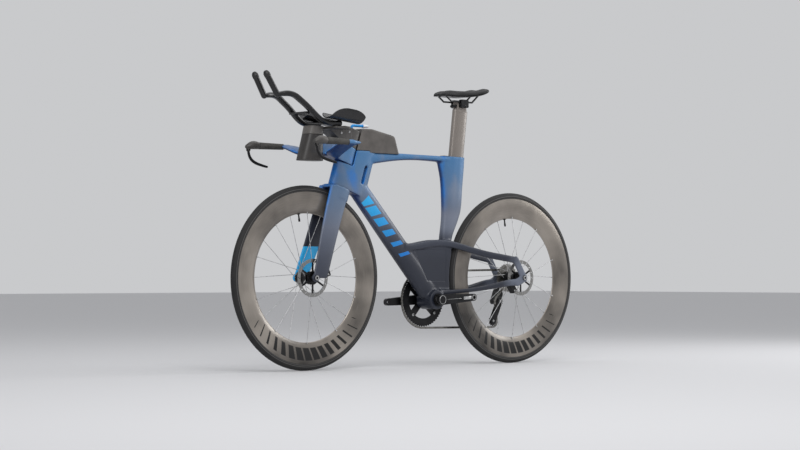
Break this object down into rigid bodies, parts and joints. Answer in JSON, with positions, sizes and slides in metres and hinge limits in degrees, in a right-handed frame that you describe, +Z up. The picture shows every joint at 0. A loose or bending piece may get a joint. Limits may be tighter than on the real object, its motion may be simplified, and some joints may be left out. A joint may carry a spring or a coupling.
{
  "type": "time trial bike",
  "caption": "Time trial bicycle with an aero frame, deep rims, disc brakes, base bar, forearm rests and raised extension bars.",
  "frame": {"origin": "on the ground midway between the two axles", "axes": "+X forward, +Y to the rider's left, +Z up"},
  "size_m": [1.722, 0.434, 1.0847],
  "materials": {
    "paint": "satin lacquer, mid blue fading to dark navy at the bottom",
    "fork_paint": "satin lacquer, steel blue to navy",
    "carbon_rim": "satin carbon, grey bronze",
    "tyre_rubber": "matt black",
    "steel_spokes": "drawn",
    "rotor_steel": "ground",
    "black_alloy": "black anodised",
    "bare_alloy": "machined",
    "drive_steel": "nickel plated",
    "dark_plastic": "satin moulded",
    "grey_plastic": "satin moulded",
    "post_carbon": "satin carbon",
    "black_carbon": "satin carbon",
    "grip_rubber": "matt",
    "saddle_cover": "matt synthetic",
    "pad_cover": "matt foam cover",
    "clear_straw": "cloudy",
    "brake_pad": "sintered"
  },
  "bodies": {
    "frame": {"frame": "paint", "rear_dropouts": "paint", "storage_panels": "paint", "headset_bearings": "drive_steel", "bottom_bracket_cups": "black_alloy", "top_tube_box": "grey_plastic", "seat_clamp_cover": "black_alloy", "rear_thru_axle": "black_alloy", "rear_brake_caliper": "black_alloy", "rear_brake_pads": "brake_pad", "chain": "drive_steel", "derailleur_cage": "black_alloy", "derailleur_hanger": "bare_alloy", "derailleur_body": "black_alloy", "derailleur_battery": "dark_plastic"},
    "box_lid": {"top_box_lid": "dark_plastic"},
    "seatpost": {"seatpost": "post_carbon", "saddle_clamp": "black_alloy"},
    "saddle": {"saddle_rails": "black_carbon", "saddle_shell": "black_carbon", "saddle_padding": "saddle_cover"},
    "steering": {"fork": "fork_paint", "front_thru_axle": "black_alloy", "front_brake_caliper": "black_alloy", "front_brake_pads": "brake_pad", "base_bar": "fork_paint", "base_bar_grips": "grip_rubber", "brake_hoods": "dark_plastic", "aerobar_riser": "grey_plastic", "extension_left": "black_carbon", "extension_right": "black_carbon", "extension_bridge": "black_carbon", "extension_pods": "dark_plastic", "armrest_cups": "black_carbon", "armrest_pads": "pad_cover", "hydration_bottle": "grey_plastic", "hydration_lid": "dark_plastic", "drink_straw": "clear_straw"},
    "left_lever": {"brake_lever_left": "black_alloy"},
    "right_lever": {"brake_lever_right": "black_alloy"},
    "left_button": {"shift_button_left": "dark_plastic"},
    "right_button": {"shift_button_right": "dark_plastic"},
    "front_wheel": {"front_rim": "carbon_rim", "front_tyre": "tyre_rubber", "front_hub": "black_alloy", "front_rotor": "rotor_steel", "front_spokes": "steel_spokes"},
    "rear_wheel": {"rear_rim": "carbon_rim", "rear_tyre": "tyre_rubber", "rear_hub": "black_alloy", "rear_rotor": "rotor_steel", "rear_spokes": "steel_spokes"},
    "cassette": {"cassette": "drive_steel"},
    "crankset": {"chainring": "black_alloy", "crank_arm_left": "black_alloy", "crank_arm_right": "black_alloy", "crank_spindle": "bare_alloy"},
    "guide_pulley": {"guide_pulley": "dark_plastic"},
    "tension_pulley": {"tension_pulley": "dark_plastic"}
  },
  "joints": [
    {"name": "steering_turn", "type": "hinge", "parent": "frame", "child": "steering", "pos_m": [0.3588, 0, 0.70696], "axis": [-0.3007, 0, 0.9537], "range_deg": [-40, 40]},
    {"name": "front_wheel_spin", "type": "hinge", "parent": "steering", "child": "front_wheel", "pos_m": [0.522, 0, 0.339], "axis": [0, 1, 0], "continuous": true},
    {"name": "rear_wheel_spin", "type": "hinge", "parent": "frame", "child": "rear_wheel", "pos_m": [-0.522, 0, 0.339], "axis": [0, 1, 0], "continuous": true},
    {"name": "crank_spin", "type": "hinge", "parent": "frame", "child": "crankset", "pos_m": [-0.09009, 0, 0.255], "axis": [0, 1, 0], "continuous": true},
    {"name": "cassette_spin", "type": "hinge", "parent": "frame", "child": "cassette", "pos_m": [-0.522, -0.044, 0.339], "axis": [0, 1, 0], "continuous": true},
    {"name": "guide_pulley_spin", "type": "hinge", "parent": "frame", "child": "guide_pulley", "pos_m": [-0.5, -0.044, 0.245], "axis": [0, 1, 0], "continuous": true},
    {"name": "tension_pulley_spin", "type": "hinge", "parent": "frame", "child": "tension_pulley", "pos_m": [-0.462, -0.044, 0.167], "axis": [0, 1, 0], "continuous": true},
    {"name": "left_lever_pull", "type": "hinge", "parent": "steering", "child": "left_lever", "pos_m": [0.63398, 0.20315, 0.813], "axis": [0, 1, 0], "range_deg": [0, 22], "stiffness_Nm_per_rad": 0.6, "springref_deg": -14.32},
    {"name": "right_lever_pull", "type": "hinge", "parent": "steering", "child": "right_lever", "pos_m": [0.63398, -0.20315, 0.813], "axis": [0, 1, 0], "range_deg": [0, 22], "stiffness_Nm_per_rad": 0.6, "springref_deg": -14.32},
    {"name": "left_button_press", "type": "slide", "parent": "steering", "child": "left_button", "axis": [-0.5256, 0.0539, -0.849], "range_m": [0, 0.0018], "stiffness_N_per_m": 800, "springref_m": -0.0015},
    {"name": "right_button_press", "type": "slide", "parent": "steering", "child": "right_button", "axis": [-0.5256, -0.0539, -0.849], "range_m": [0, 0.0018], "stiffness_N_per_m": 800, "springref_m": -0.0015},
    {"name": "box_lid_open", "type": "hinge", "parent": "frame", "child": "box_lid", "pos_m": [0.12793, 0, 0.8779], "axis": [0, -1, 0], "range_deg": [0, 105]},
    {"name": "seatpost_height", "type": "slide", "parent": "frame", "child": "seatpost", "axis": [-0.1219, 0, 0.9925], "range_m": [-0.04, 0.05]},
    {"name": "saddle_fore_aft", "type": "slide", "parent": "seatpost", "child": "saddle", "axis": [1, 0, 0], "range_m": [-0.015, 0.015]}
  ],
  "couplings": [
    {"joint": "cassette_spin", "follows": "crank_spin", "ratio": 3.375},
    {"joint": "guide_pulley_spin", "follows": "crank_spin", "ratio": -4.5},
    {"joint": "tension_pulley_spin", "follows": "crank_spin", "ratio": 4.5}
  ]
}
